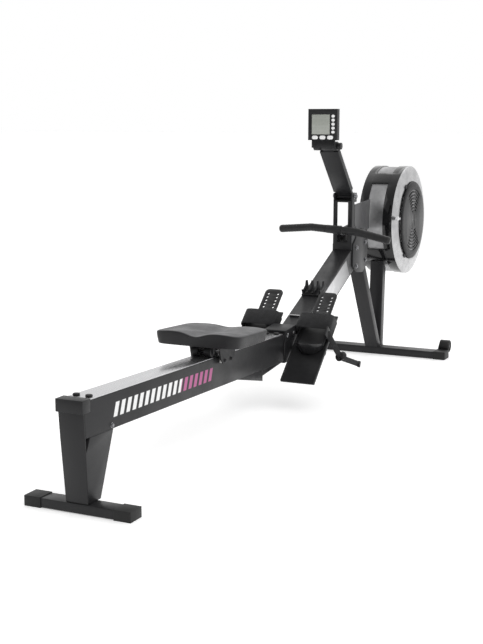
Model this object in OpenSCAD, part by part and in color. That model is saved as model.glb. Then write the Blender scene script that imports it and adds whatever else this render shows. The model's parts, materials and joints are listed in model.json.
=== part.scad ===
// Air-resistance rowing machine. Millimetres, +Z up, +Y towards the fan, +X to the rower's right.
// The origin is on the floor, in the middle of the footprint.

/* [Overall] */
// Distance from the middle of the footprint to the rear crossbar
rear_foot_y = 1250; // [1240:1:1260]
// Distance from the middle of the footprint to the front crossbar
front_foot_y = 908; // [900:1:916]
// Length of the front crossbar
front_foot_w = 610; // [590:5:640]
// Length of the rear crossbar
rear_foot_w = 304; // [280:2:340]

/* [Rail] */
// Width of the rail
rail_w = 71; // [68:1:73]
// Height of the rail
rail_h = 90; // [84:1:94]
// Height of the rail's top edge at its rear end
rail_top = 283; // [280:1:286]
// Angle by which the rail falls towards the fan
rail_fall = 1.8; // [1.6:0.1:2.0]
// Thickness of the steel running track on top of the rail
track_t = 2.5; // [2:0.5:3]

/* [Seat] */
// Place of the seat's middle at rest, along Y
seat_y = -550; // [-700:10:-350]
// Width of the seat
seat_w = 262; // [244:2:270]
// Depth of the seat, front to back
seat_d = 223; // [205:2:225]
// Radius of the seat's rollers
roller_r = 16; // [15:0.5:16]

/* [Front frame] */
// Width of the main beam and its stub
beam_w = 73; // [72:1:75]
// Rise of the main beam for each unit of its length along Y
beam_rise = 0.44; // [0.42:0.01:0.46]
// Width of the upright
upright_w = 74; // [72:1:78]
// Depth of the upright, front to back
upright_d = 50; // [46:1:54]
// Width of the front strut and the front post
strut_w = 54; // [50:1:58]

/* [Fan] */
// Place of the fan's axis along Y
fan_y = 1077; // [1070:1:1084]
// Height of the fan's axis
fan_z = 533; // [528:1:538]
// Outer radius of the fan's drum
drum_r = 219; // [216:1:222]
// Number of fan blades
blade_count = 24; // [16:2:32]
// Radius of the strap on its spool
spool_r = 36; // [34:1:40]

/* [Handle] */
// Height of the handle's middle
handle_z = 543; // [540:1:546]
// Place of the handle's middle along Y
handle_y = 437; // [430:1:440]
// Radius of the grip
grip_r = 14; // [13:0.5:15]
// Droop of the handle's two grips
handle_droop = 8.5; // [6:0.5:10]
// Roll of the handle as it hangs on its strap
handle_roll = 3.7; // [0:0.1:5]

/* [Footrests] */
// Distance of each footrest's middle from the centre plane
foot_x = 100; // [99:1:104]
// Incline of the footrests
foot_tilt = 42; // [40:1:44]
// Width of each footplate
foot_w = 118; // [112:1:120]
// Distance between two rows of holes in the sliding tongue
hole_pitch = 14.7; // [14:0.1:15]

/* [Monitor] */
// Width of the monitor
monitor_w = 108; // [106:1:114]
// Height of the monitor
monitor_h = 108; // [106:1:110]
// Thickness of the monitor
monitor_t = 24; // [22:1:26]

/* [Hidden] */
$fn = 64;

// Colours
black = [0.10, 0.10, 0.105];
rubber = [0.07, 0.07, 0.07];
grey = [0.42, 0.42, 0.43];
steel = [0.75, 0.75, 0.76];
silver = [0.66, 0.67, 0.68];
white = [0.92, 0.92, 0.92];

// Feet
foot_tube_d = 48;
foot_tube_h = 24;
front_tube_d = 56;
front_tube_h = 28;
cap_len = 48;
cap_skin = 1.6;
foot_top = foot_tube_h + cap_skin;
front_foot_top = front_tube_h + cap_skin;

// Rear leg and rail
leg_rear_y = -1292;
leg_lean = 20 / 256;
plate_t = 5;
rail_end_y = -100;
rail_wall = 2.5;
fall = tan(rail_fall);
function rail_z(y) = rail_top - (y - leg_rear_y) * fall;
function plate_y(z) = leg_rear_y + (rail_top - z) * leg_lean;

// Front frame
beam_ref_y = 276;
beam_ref_z = 352;
beam_deep = 89;
beam_end_y = 680;
beam_wall = 3;
stub_rear_y = -98;
stub_low = 150;
stub_high = 250;
function beam_top_z(y) = beam_ref_z + beam_rise * (y - beam_ref_y);
function beam_low_z(y) = beam_top_z(y) - beam_deep;
function beam_top_y(z) = beam_ref_y + (z - beam_ref_z) / beam_rise;
beam_tilt = atan(beam_rise);
upright_rear = 521;
upright_mid = upright_rear + upright_d / 2;
upright_top = 671;
window_w = 41;
window_low = 489;
window_high = 637;
channel_t = 3.5;
channel_deep = 27;
channel_low = 546;
strut_low_y = 896;
strut_high_y = 660;
strut_deep = 32;
post_low_y = 926;
post_high_y = 944;
post_deep = 34;
strut_slope = (strut_low_y - strut_high_y) / (beam_low_z(strut_high_y) - front_foot_top);
function strut_front_y(z) = strut_low_y + strut_deep / 2 * norm([1, strut_slope]) + 0.3
  - (z - front_foot_top) * strut_slope;

// Drum: places along X
drum_left = -58;
band_left = -24;
band_right = 42;
drum_right = 80;
rim_t = 6;
ring_inner_r = 158;
cap_r = 156.5;
axle_r = 8;
running = 0.05;
spool_x = -45;
strap_w = 14;
strap_t = 2.4;
flange_t = 1.4;
cover_t = 4;
crosspieces = [37, 127, 217, 307];
lever_angle = 174;
lever_travel = 34;

// Handle and strap
guide_r = 14;
guide_y = upright_mid;
strap_z = handle_z;
guide_z = strap_z - strap_t / 2 - guide_r - 0.4;
yoke_front = 474;
spool_top_z = fan_z + spool_r;

// Seat
pad_gap = 36;
pad_t = 40;
pad_round = 16;
deck_t = 3;
stop_h = 6;
axle_gap = 120;
roller_x = 21;
roller_len = 22;
plate_x = 45;

// Footrest frame
board_t = 6;
board_len = 283;
board_y = -146;
board_z = 104;
tongue_w = 66;
tongue_top = 376;
hole_r = 3.7;
hole_x = 17.5;
hole_top = 355;
cup_r = 48;
cup_t = 112;
cup_h = 50;
strap_low = 196;
strap_high = 258;
strap_rise = 34;

// Monitor
monitor_y = 308;
monitor_low = 867;
pivot_y = 546;
pivot_z = 659;
pin_r = 5;
cheek_t = 5;
clamp_y = 366;
clamp_z = 846;
clamp_r = 16;
arm_w = 70;
arm_t = 21;
arm_start = 31;
arm_length = norm([pivot_y - clamp_y, clamp_z - pivot_z]);
arm_lean = atan2(pivot_y - clamp_y, clamp_z - pivot_z);
screen = [68, 69];
screen_x = -41;
screen_z = 20;
button_x = 39.5;
button_top = 83;
button_step = 13.7;
menu_x = 0.5;
menu_z = 9.5;
menu_step = 28.5;
button_gap = 0.3;
wheel_x = 283;
wheel_y = 53;
wheel_z = 42;
wheel_r = 24;
wheel_w = 38;
wheel_pin_r = 6;
fork_t = 3;
ear_x = wheel_x - wheel_w / 2 - 1 - fork_t;
ear_slot = 0.3;
grip_from = 30;
grip_bend = 90;
grip_end = 217;
bar_r = 9;

// ---- Helpers ----

// A prism from a polygon of [y, z] points, between two places along X
module yz_prism(points, x0, x1) {
  translate([x0, 0, 0]) rotate([90, 0, 90]) linear_extrude(x1 - x0) polygon(points);
}

// A round bar along X
module x_bar(r, x0, x1) {
  translate([x0, 0, 0]) rotate([0, 90, 0]) cylinder(r = r, h = x1 - x0);
}

// A round tube along X
module x_tube(r, bore, x0, x1) {
  difference() {
    x_bar(r, x0, x1);
    x_bar(bore, x0 - 1, x1 + 1);
  }
}

// A hexagon bolt head with its washer, standing out along +X
module bolt_head(r = 6, h = 5) {
  x_bar(r * 1.35, 0, 1.2);
  translate([1.2, 0, 0]) rotate([0, 90, 0]) cylinder(r = r, h = h, $fn = 6);
}

// Puts its children on the track at a place along Y, level with the track
module on_track(y) {
  translate([0, y, rail_z(y) + track_t / cos(rail_fall)]) rotate([-rail_fall, 0, 0]) children();
}

// Puts its children in a footrest's own frame: Y along the plate, Z out of it
module on_board(side) {
  translate([side * foot_x, board_y, board_z]) rotate([foot_tilt, 0, 0]) children();
}

// Puts its children in the drum's frame: Z along the fan's axis, X towards +Y, Y upwards
module on_fan() {
  translate([0, fan_y, fan_z]) rotate([90, 0, 90]) children();
}

// A ring sector about the fan's axis, between two places along X
module fan_ring(r_in, r_out, x0, x1, from = 0, sweep = 360) {
  on_fan() rotate([0, 0, from]) rotate_extrude(angle = sweep, $fn = 180)
    translate([r_in, x0]) square([r_out - r_in, x1 - x0]);
}

// ---- Feet and rear leg ----

module rear_foot_tube() {
  color(black) translate([0, -rear_foot_y, cap_skin]) difference() {
    translate([-rear_foot_w / 2 + 2, -foot_tube_d / 2, 0]) cube([rear_foot_w - 4, foot_tube_d, foot_tube_h]);
    translate([-rear_foot_w / 2, -foot_tube_d / 2 + 2, 2])
      cube([rear_foot_w, foot_tube_d - 4, foot_tube_h - 4]);
  }
}

module front_foot_tube() {
  front = front_tube_d / 2;
  color(black) translate([0, front_foot_y, 0]) {
    difference() {
      translate([-front_foot_w / 2 + 2, -front, cap_skin])
        cube([front_foot_w - 4, front_tube_d, front_tube_h]);
      translate([-front_foot_w / 2, -front + 2, cap_skin + 2])
        cube([front_foot_w, front_tube_d - 4, front_tube_h - 4]);
    }
    for (side = [-1, 1]) mirror([side < 0 ? 1 : 0, 0, 0]) {
      yz_prism([[front - 3, 8], [wheel_y - 4, 26], [wheel_y + 10, 34], [wheel_y + 10, 50], [wheel_y - 2, 54],
                [front - 3, 29]], ear_x, ear_x + fork_t);
      translate([0, wheel_y, wheel_z]) x_bar(wheel_pin_r, ear_x, wheel_x + wheel_w / 2);
    }
  }
}

module foot_cap(side, half, deep, high, tube_d, tube_h) {
  outer = side * half;
  inner = side * (half - cap_len);
  difference() {
    translate([min(outer, inner), -deep / 2, 0]) cube([cap_len, deep, high]);
    translate([min(outer, inner) + (side > 0 ? -1 : 2), -tube_d / 2, cap_skin])
      cube([cap_len - 1, tube_d, tube_h]);
  }
}

module foot_caps() {
  color(rubber) {
    for (side = [-1, 1]) {
      translate([0, -rear_foot_y, 0])
        foot_cap(side, rear_foot_w / 2, foot_tube_d + 4, foot_tube_h + 3.2, foot_tube_d, foot_tube_h);
      translate([0, front_foot_y, 0]) difference() {
        foot_cap(side, front_foot_w / 2, front_tube_d + 4, front_tube_h + 3.2, front_tube_d, front_tube_h);
        mirror([side < 0 ? 1 : 0, 0, 0]) translate([ear_x - ear_slot, front_tube_d / 2 - 4, 4])
          cube([fork_t + 2 * ear_slot, 8, front_tube_h]);
      }
    }
  }
}

module rear_leg() {
  under = rail_h / cos(rail_fall);
  inner = plate_t - 1;
  strut = [[plate_y(foot_top) + inner, foot_top], [-1214, foot_top], [-1156, rail_z(-1156) - under],
           [-1262, rail_z(-1262) - under], [plate_y(160) + inner, 160]];
  hollow = [[plate_y(45) + plate_t + 6, 45], [-1218, 45], [-1164, 186], [-1252, 186],
            [plate_y(150) + plate_t + 12, 150]];
  color(black) intersection() {
    union() {
      yz_prism([[plate_y(foot_top), foot_top], [plate_y(foot_top) + plate_t, foot_top],
                [plate_y(rail_top) + plate_t, rail_top], [plate_y(rail_top), rail_top]], -40, 40);
      difference() {
        yz_prism(strut, -40, 40);
        yz_prism(hollow, -26, 26);
      }
    }
    translate([0, -1100, 0]) rotate([90, 0, 0]) linear_extrude(300)
      polygon([[-32, foot_top], [32, foot_top], [rail_w / 2, 190], [rail_w / 2, rail_top + 1],
               [-rail_w / 2, rail_top + 1], [-rail_w / 2, 190]]);
  }
}

module rail_end_cap() {
  y0 = leg_rear_y - 4;
  skirt = 2.6;
  side = rail_w / 2 + 0.3;
  color(rubber) union() {
    translate([-side - skirt, y0, rail_top + 0.4]) cube([2 * (side + skirt), 36, 4]);
    translate([-side - skirt, y0, rail_top - 28]) cube([2 * (side + skirt), 3.6, 32]);
    for (x = [-side - skirt, side])
      translate([x, y0, rail_top - 28]) cube([skirt, 34, 32]);
  }
}

// ---- Rail ----

module rail_body(y_from, y_to, w, h, drop) {
  translate([0, y_from, rail_z(y_from)]) rotate([-rail_fall, 0, 0])
    translate([-w / 2, 0, -h - drop]) cube([w, (y_to - y_from) / cos(rail_fall), h]);
}

module rail() {
  color(black) difference() {
    rail_body(leg_rear_y - 5, rail_end_y, rail_w, rail_h, 0);
    rail_body(leg_rear_y - 20, rail_end_y + 20, rail_w - 2 * rail_wall, rail_h - 2 * rail_wall, rail_wall);
    yz_prism([[-1400, 100], [plate_y(100) + plate_t, 100], [plate_y(320) + plate_t, 320], [-1400, 320]],
             -50, 50);
  }
}

module rail_track() {
  color(steel) on_track(-1258) translate([-rail_w / 2 + 1.5, 0, -track_t]) cube([rail_w - 3, 1152, track_t]);
}

module seat_stops() {
  color(rubber) {
    on_track(-1236) for (x = [-18, 18]) translate([x, 0, 0]) cylinder(r = 9, h = stop_h);
    on_track(-124) for (x = [-18, 18]) translate([x, 0, 0]) cylinder(r = 9, h = stop_h);
  }
}

module rail_gusset() {
  low = rail_h / cos(rail_fall);
  color(black) yz_prism([[-451, rail_z(-451) - low], [-268, 125], [-268, rail_z(-268) - low]], -35, 35);
}

module rail_receiver() {
  low = rail_h / cos(rail_fall);
  color(grey) yz_prism([[-267.5, 138], [-112, rail_z(-112) - low - 3], [-112, rail_z(-112) - low],
                        [-267.5, rail_z(-267.5) - low]], -30, 30);
}

module coupler_cover() {
  side = beam_w / 2 + 0.3;
  color(black) {
    yz_prism([[-97, 254], [-12, 260.6], [-12, 264.6], [-97, 258]], -side - 3, side + 3);
    for (x = [-side - 3, side])
      yz_prism([[-97, 222], [-20, 222], [-12, 226], [-12, 260.6], [-97, 254]], x, x + 3);
    yz_prism([[-97, 251], [-93, 251], [-93, 255], [-97, 255]], -side, side);
  }
}

// ---- Front frame ----

module main_beam() {
  bend_low = beam_ref_y + (stub_low - (beam_ref_z - beam_deep)) / beam_rise;
  inner_low = beam_ref_y + (stub_low + beam_wall - (beam_ref_z - beam_deep + 3.3)) / beam_rise;
  inner_high = beam_ref_y + (stub_high - beam_wall - (beam_ref_z - 3.3)) / beam_rise;
  color(black) difference() {
    yz_prism([[stub_rear_y, stub_low], [bend_low, stub_low], [beam_end_y, beam_low_z(beam_end_y)],
              [beam_end_y, beam_top_z(beam_end_y)], [beam_top_y(stub_high), stub_high],
              [stub_rear_y, stub_high]], -beam_w / 2, beam_w / 2);
    yz_prism([[stub_rear_y - 1, stub_low + beam_wall], [inner_low, stub_low + beam_wall],
              [beam_end_y - 4, beam_low_z(beam_end_y - 4) + 3.3],
              [beam_end_y - 4, beam_top_z(beam_end_y - 4) - 3.3],
              [inner_high, stub_high - beam_wall], [stub_rear_y - 1, stub_high - beam_wall]],
             -beam_w / 2 + beam_wall, beam_w / 2 - beam_wall);
  }
}

module beam_panels() {
  y0 = 96;
  y1 = 500;
  inset = 7;
  color(grey) for (side = [-1, 1]) {
    x = side > 0 ? beam_w / 2 : -beam_w / 2 - 1.5;
    yz_prism([[y0 + 34, beam_low_z(y0 + 34) + inset], [y1, beam_low_z(y1) + inset],
              [y1 - 34, beam_top_z(y1 - 34) - inset], [y0, beam_top_z(y0) - inset]], x, x + 1.5);
  }
}

module upright() {
  front = upright_rear + upright_d;
  color(black) difference() {
    yz_prism([[upright_rear, beam_top_z(upright_rear)], [front, beam_top_z(front)], [front, upright_top],
              [upright_rear, upright_top]], -upright_w / 2, upright_w / 2);
    translate([-window_w / 2, upright_rear - 1, window_low])
      cube([window_w, upright_d + 2, window_high - window_low]);
    translate([-upright_w / 2 + channel_t, upright_rear + channel_t, channel_low])
      cube([upright_w - 2 * channel_t, upright_d, window_high - channel_low]);
    translate([-upright_w / 2 - 1, upright_rear + channel_deep, channel_low])
      cube([upright_w + 2, upright_d, window_high - channel_low]);
    translate([-upright_w / 2 + cheek_t, upright_rear - 1, window_high + 6])
      cube([upright_w - 2 * cheek_t, upright_d - cheek_t + 1, upright_top - window_high]);
    translate([0, pivot_y, pivot_z]) x_bar(pin_r, -60, 60);
  }
}

module gusset_plates() {
  color(black) for (side = [-1, 1]) {
    x = side > 0 ? upright_w / 2 : -upright_w / 2 - 4;
    yz_prism([[528, 400], [575, 372], [640, 366], [690, 392], [690, 500], [640, 516], [571, 508],
              [528, 480]], x, x + 4);
  }
}

module frame_bolts() {
  gusset_face = upright_w / 2 + 4;
  color(steel) {
    for (side = [-1, 1]) mirror([side < 0 ? 1 : 0, 0, 0]) {
      translate([gusset_face, 566, 466]) bolt_head(7, 5);
      translate([gusset_face, 564, 397]) bolt_head(7, 5);
      translate([gusset_face, 664, 478]) bolt_head(6, 4);
      translate([gusset_face, 668, 410]) bolt_head(6, 4);
      translate([rail_w / 2, -1165, rail_z(-1165) - 80]) bolt_head(5, 4);
      translate([beam_w / 2 + 3.3, -86, 238]) bolt_head(5, 4);
      translate([upright_w / 2, pivot_y, pivot_z]) bolt_head(8, 8);
    }
    translate([0, pivot_y, pivot_z]) x_bar(pin_r - running, -upright_w / 2, upright_w / 2);
  }
}

module leaning_tube(y_low, z_low, y_high, z_high, w, deep, wall) {
  length = norm([y_high - y_low, z_high - z_low]);
  lean = atan2(y_low - y_high, z_high - z_low);
  translate([0, y_low, z_low]) rotate([lean, 0, 0]) difference() {
    translate([-w / 2, -deep / 2, -40]) cube([w, deep, length + 80]);
    translate([-w / 2 + wall, -deep / 2 + wall, -50]) cube([w - 2 * wall, deep - 2 * wall, length + 100]);
  }
}

module front_strut() {
  color(black) difference() {
    leaning_tube(strut_low_y, front_foot_top, strut_high_y, beam_low_z(strut_high_y), strut_w, strut_deep,
                 2.5);
    translate([-100, 700, front_foot_top - 100]) cube([200, 400, 100]);
    yz_prism([[400, beam_low_z(400)], [900, beam_low_z(900)], [900, 800], [400, 800]], -60, 60);
  }
}

module front_post() {
  color(black) difference() {
    leaning_tube(post_low_y, front_foot_top, post_high_y, 400, strut_w, post_deep, 2.5);
    translate([-100, 700, front_foot_top - 100]) cube([200, 400, 100]);
    yz_prism([[strut_front_y(0), 0], [strut_front_y(420), 420], [600, 420], [600, 0]], -60, 60);
    translate([0, fan_y, fan_z]) rotate([0, 90, 0])
      cylinder(r = drum_r + 0.2, h = 200, center = true, $fn = 180);
  }
}

module drum_neck() {
  y0 = upright_rear + upright_d;
  low = 512;
  high = 627;
  left_high = 531;
  wall = 3;
  color(grey) difference() {
    translate([0, 0, low]) linear_extrude(high - low) polygon([[-37, y0], [30, y0], [-16, 880], [-57, 880]]);
    translate([0, 0, low + wall]) linear_extrude(high)
      polygon([[-37 + wall, y0 - 1], [30 - wall, y0 - 1], [-16 - wall, 890], [-57 + wall, 890]]);
    translate([0, 0, left_high]) linear_extrude(high)
      polygon([[-60, y0 - 1], [0, y0 - 1], [-35, 890], [-80, 890]]);
    translate([0, fan_y, fan_z]) rotate([0, 90, 0])
      cylinder(r = drum_r + 0.2, h = 200, center = true, $fn = 180);
    yz_prism([[500, 400], [691, 400], [691, 500.5], [640, 516.5], [571, 511], [500, 511]], -60, 60);
    yz_prism([[500, 300], [beam_end_y + 1, 300], [beam_end_y + 1, beam_top_z(beam_end_y + 1)],
              [500, beam_top_z(500)]], -60, 60);
  }
}

// The strap runs over a roller held in this bracket at the bottom of the upright's window
module strap_guide() {
  color(grey) {
    for (x = [-window_w / 2 + 0.2, window_w / 2 - 4.2])
      yz_prism([[guide_y - 18, window_low], [guide_y + 18, window_low], [guide_y + 9, guide_z + 8],
                [guide_y - 9, guide_z + 8]], x, x + 4);
    translate([-window_w / 2 + 0.2, guide_y - 18, window_low]) cube([window_w - 0.4, 36, 4]);
    translate([0, guide_y, guide_z]) x_bar(3, -window_w / 2 + 1, window_w / 2 - 1);
  }
}

module guide_roller() {
  color(silver) translate([0, guide_y, guide_z]) difference() {
    x_bar(guide_r, -15.5, 15.5);
    x_bar(3 + running, -20, 20);
  }
}

// A rest on the beam where the rower parks the handle
module handle_cradle() {
  y0 = 246;
  color(rubber) translate([0, y0, beam_top_z(y0)]) rotate([beam_tilt, 0, 0]) {
    translate([-36, -30, 0]) cube([72, 60, 6]);
    for (x = [-35, -14, 8, 29]) translate([x, 0, 0])
      yz_prism([[-26, 6], [26, 6], [28, 30], [20, 34], [10, 20], [-12, 16], [-26, 24]], 0, 6);
  }
  color(steel) translate([0, y0, beam_top_z(y0)]) rotate([beam_tilt, 0, 0])
    for (x = [-21, 1.5]) translate([x, -20, 6]) cylinder(r = 5, h = 5, $fn = 6);
}

// ---- Fan ----

module strap_slot() {
  translate([-37, fan_y - drum_r - 10, 548]) cube([20, 60, 22]);
}

module drum_frame() {
  color(black) difference() {
    union() {
      fan_ring(drum_r - rim_t, drum_r, drum_left, band_left);
      fan_ring(drum_r - rim_t, drum_r, band_right, drum_right);
      fan_ring(drum_r - 14, drum_r - rim_t, drum_left, drum_left + cover_t);
      fan_ring(drum_r - 14, drum_r - rim_t, drum_right - cover_t, drum_right);
      for (a = crosspieces) {
        fan_ring(drum_r - 2.4, drum_r + 1.5, band_left - 4, band_right + 4, a - 8, 16);
        fan_ring(22, drum_r - rim_t, 66, 72, a - 3, 6);
      }
      fan_ring(axle_r, 26, 60, 76);
    }
    strap_slot();
  }
}

module drum_band() {
  color(silver) difference() {
    fan_ring(drum_r - 5.5, drum_r - 2.4, band_left, band_right);
    strap_slot();
  }
}

module left_cover() {
  color(black) difference() {
    fan_ring(axle_r, drum_r - 14.5, drum_left, drum_left + cover_t);
    for (r = [60 : 18 : 186], a = [0 : 90 : 270])
      fan_ring(r, r + 8, drum_left - 1, drum_left + 6, a + 10, 70);
  }
}

module right_cover_ring() {
  color(silver) on_fan() rotate_extrude($fn = 180)
    polygon([[ring_inner_r, 90], [ring_inner_r, 93], [180, 90.6], [198, 87.4], [210, 84.2], [drum_r, 80.2],
             [drum_r - 5, 80.2], [208, 82], [197, 84.6], [180, 87.8]]);
}

module flywheel_axle() {
  color(steel) translate([0, fan_y, fan_z]) {
    x_bar(axle_r, drum_left - 4, 79);
    x_bar(13, drum_left - 9, drum_left - 4);
  }
}

module flywheel() {
  color(steel) {
    fan_ring(16, 196, 6, 9);
    fan_ring(16, 30, -12, 36);
    for (k = [0 : blade_count - 1]) on_fan() rotate([0, 0, k * 360 / blade_count])
      translate([120, -1, -12]) cube([74, 2, 48]);
  }
}

module flywheel_bearings() {
  color(steel) {
    fan_ring(axle_r + running, 16, -12, 0);
    fan_ring(axle_r + running, 16, 24, 36);
  }
}

module strap_spool() {
  x0 = spool_x - strap_w / 2 - 0.4;
  x1 = spool_x + strap_w / 2 + 2.8;
  color(black) {
    fan_ring(axle_r + running, spool_r + 8, x0 - flange_t, x0);
    fan_ring(axle_r + running, 12, x0, x1);
    fan_ring(spool_r - strap_t / 2 - 3, spool_r - strap_t / 2, x0, x1);
    fan_ring(spool_r - strap_t / 2 - 3, spool_r + 8, x1, x1 + flange_t);
  }
}

// A flat spring coiled inside the spool, which winds the strap back in
module recoil_spring() {
  turns = 5;
  per_turn = 24;
  leaf = 0.8;
  radii = [for (k = [0 : turns * per_turn]) 13.5 + k * 14.5 / (turns * per_turn)];
  last = turns * per_turn;
  turn = 360 / per_turn;
  outer = [for (k = [0 : last]) (radii[k] + leaf) * [cos(k * turn), sin(k * turn)]];
  inner = [for (k = [last : -1 : 0]) radii[k] * [cos(k * turn), sin(k * turn)]];
  color(steel) on_fan() translate([0, 0, spool_x - 5]) linear_extrude(10) polygon(concat(outer, inner));
}

module drive_strap() {
  far = [spool_x, fan_y, spool_top_z];
  near = [0, guide_y, strap_z];
  run = far - near;
  turn = atan2(run[0], run[1]);
  rise = atan2(run[2], norm([run[0], run[1]]));
  color(rubber) {
    translate([-strap_w / 2, yoke_front, strap_z - strap_t / 2])
      cube([strap_w, guide_y - yoke_front, strap_t]);
    translate(near) rotate([0, 0, -turn]) rotate([rise, 0, 0])
      translate([-strap_w / 2, 1.2, -strap_t / 2]) cube([strap_w, norm(run) - 8, strap_t]);
  }
}

// The louvred cap over the drum's right side. Its rim is cut away where the damper's lever comes out
module right_cover_cap() {
  color(black) difference() {
    on_fan() rotate_extrude($fn = 180)
      polygon([[27, 84], [cap_r, 84], [cap_r, 99], [152, 101.5], [135, 102.8], [0.01, 104], [0.01, 100],
               [135, 99], [148, 98], [151, 96], [151, 88], [27, 88]]);
    for (r = [40 : 13 : 125], a = [90, 270])
      fan_ring(r, r + 6.5, 83, 110, a - 38, 76);
    fan_ring(149, cap_r + 2, 92.8, 97.4, lever_angle - lever_travel - 4, 2 * lever_travel + 8);
  }
}

module damper_lever() {
  color(black) {
    fan_ring(30, 148, 93.4, 95.4);
    fan_ring(147, 216, 93.6, 96.8, lever_angle - 1.6, 3.2);
    fan_ring(198, 215, 93.6, 103, lever_angle - 2.2, 4.4);
  }
}
// ---- Handle ----

module handle_place() {
  translate([0, handle_y, handle_z]) rotate([0, handle_roll, 0]) children();
}

// A length of the handle's bar or sleeve along X, cut off on the slant where it meets the other length
module handle_length(r, bore, x0, x1, cut_side) {
  difference() {
    x_bar(r, x0, x1);
    if (bore > 0) x_bar(bore, x0 - 1, x1 + 1);
    rotate([0, -cut_side * handle_droop / 2, 0])
      translate([cut_side > 0 ? 0 : -100, -50, -50]) cube([100, 100, 100]);
  }
}

// One half of the handle: straight, then bent down
module handle_half(r, bore, from, end) {
  translate([grip_bend, 0, 0]) {
    handle_length(r, bore, from - grip_bend, 10, 1);
    rotate([0, handle_droop, 0]) handle_length(r, bore, -10, end - grip_bend, -1);
  }
}

module handle_grip() {
  color(rubber) handle_place() for (side = [-1, 1]) mirror([side < 0 ? 1 : 0, 0, 0])
    handle_half(grip_r, bar_r, grip_from, grip_end);
}

module handle_yoke() {
  color(black) handle_place() {
    for (side = [-1, 1]) mirror([side < 0 ? 1 : 0, 0, 0])
      handle_half(bar_r - 0.1, 0, grip_from - 2, grip_end - 2);
    x_bar(15, -grip_from + 0.5, grip_from - 0.5);
    translate([-13, 8, -9]) cube([26, yoke_front - handle_y - 8, 18]);
  }
}

// ---- Footrests ----

module foot_bracket() {
  color(black) for (side = [-1, 1]) {
    x0 = side > 0 ? beam_w / 2 : -foot_x - foot_w / 2 + 14;
    x1 = side > 0 ? foot_x + foot_w / 2 - 14 : -beam_w / 2;
    translate([0, -15, 182]) x_tube(13, 11, x0, x1);
    on_board(side) translate([-30, 128, -29]) difference() {
      cube([60, 46, 18.8]);
      translate([3, -1, -1]) cube([54, 48, 16.8]);
      translate([-1, 22.8, 0.5]) x_bar(13.2, -1, 80);
    }
  }
}

module footplates() {
  color(black) for (side = [-1, 1]) on_board(side) {
    translate([-foot_w / 2, 0, -10]) cube([foot_w, board_len, board_t]);
    for (x = [-foot_w / 2, foot_w / 2 - 3]) translate([x, 0, -4]) cube([3, board_len - 8, 5]);
  }
}

// A wide strap that crosses the plate from one edge to the other
module foot_straps() {
  half = foot_w / 2 + 0.3;
  color(rubber) for (side = [-1, 1]) on_board(side)
    translate([0, strap_high, 0]) rotate([90, 0, 0]) linear_extrude(strap_high - strap_low)
      polygon([[-half, -9], [-half, 4], [-half + 8, strap_rise - 3], [-half + 18, strap_rise],
               [half - 18, strap_rise], [half - 8, strap_rise - 3], [half, 4], [half, -9],
               [half + 3, -9], [half + 3, 5], [half - 6, strap_rise], [half - 17, strap_rise + 3.5],
               [-half + 17, strap_rise + 3.5], [-half + 6, strap_rise], [-half - 3, 5], [-half - 3, -9]]);
}

module foot_slider(side) {
  color(rubber) on_board(side) {
    difference() {
      union() {
        translate([-tongue_w / 2, 200, -2]) cube([tongue_w, tongue_top - 200 - 16, 4]);
        translate([-tongue_w / 2 + 16, tongue_top - 17, -2]) cube([tongue_w - 32, 17, 4]);
        for (x = [-1, 1]) translate([x * (tongue_w / 2 - 16), tongue_top - 16, -2]) cylinder(r = 16, h = 4);
        translate([-cup_r, cup_t + cup_r, -2]) cube([2 * cup_r, 130 - cup_r, 4]);
        translate([0, cup_t + cup_r, -2]) cylinder(r = cup_r, h = 4);
      }
      for (x = [-hole_x, hole_x], k = [0 : 4])
        translate([x, hole_top - k * hole_pitch, -3]) cylinder(r = hole_r, h = 6, $fn = 24);
    }
    difference() {
      translate([0, cup_t + cup_r, 2]) cylinder(r = cup_r, h = cup_h);
      translate([0, cup_t + cup_r, 1]) cylinder(r = cup_r - 4, h = cup_h + 2);
      translate([-60, cup_t + cup_r - 10, 1]) cube([120, 80, 80]);
      yz_prism([[cup_t - 10, cup_h + 20], [cup_t - 10, cup_h + 2], [cup_t + 4, cup_h + 2],
                [cup_t + cup_r - 8, 12], [cup_t + cup_r, cup_h + 20]], -60, 60);
    }
  }
}

module foot_slider_left() {
  foot_slider(-1);
}

module foot_slider_right() {
  foot_slider(1);
}

module transport_wheel(side) {
  middle = side * wheel_x;
  color(rubber) translate([0, front_foot_y + wheel_y, wheel_z]) difference() {
    x_bar(wheel_r, middle - wheel_w / 2, middle + wheel_w / 2);
    x_bar(wheel_pin_r + running, middle - wheel_w, middle + wheel_w);
    for (x = [-wheel_w / 2 - 1, wheel_w / 2 - 4]) translate([middle, 0, 0]) x_tube(19.5, 11, x, x + 5);
  }
}

module transport_wheel_left() {
  transport_wheel(-1);
}

module transport_wheel_right() {
  transport_wheel(1);
}

// ---- Seat ----

module seat_pad() {
  color(rubber) on_track(seat_y) translate([0, 0, pad_gap]) difference() {
    hull() for (x = [-1, 1], y = [-1, 1])
      translate([x * (seat_w / 2 - pad_round), y * (seat_d / 2 - pad_round), 0])
        cylinder(r = pad_round, h = pad_t, $fn = 32);
    translate([0, 0, pad_t + 60]) rotate([90, 0, 0]) cylinder(r = 74, h = seat_d + 20, center = true);
  }
}

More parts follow.
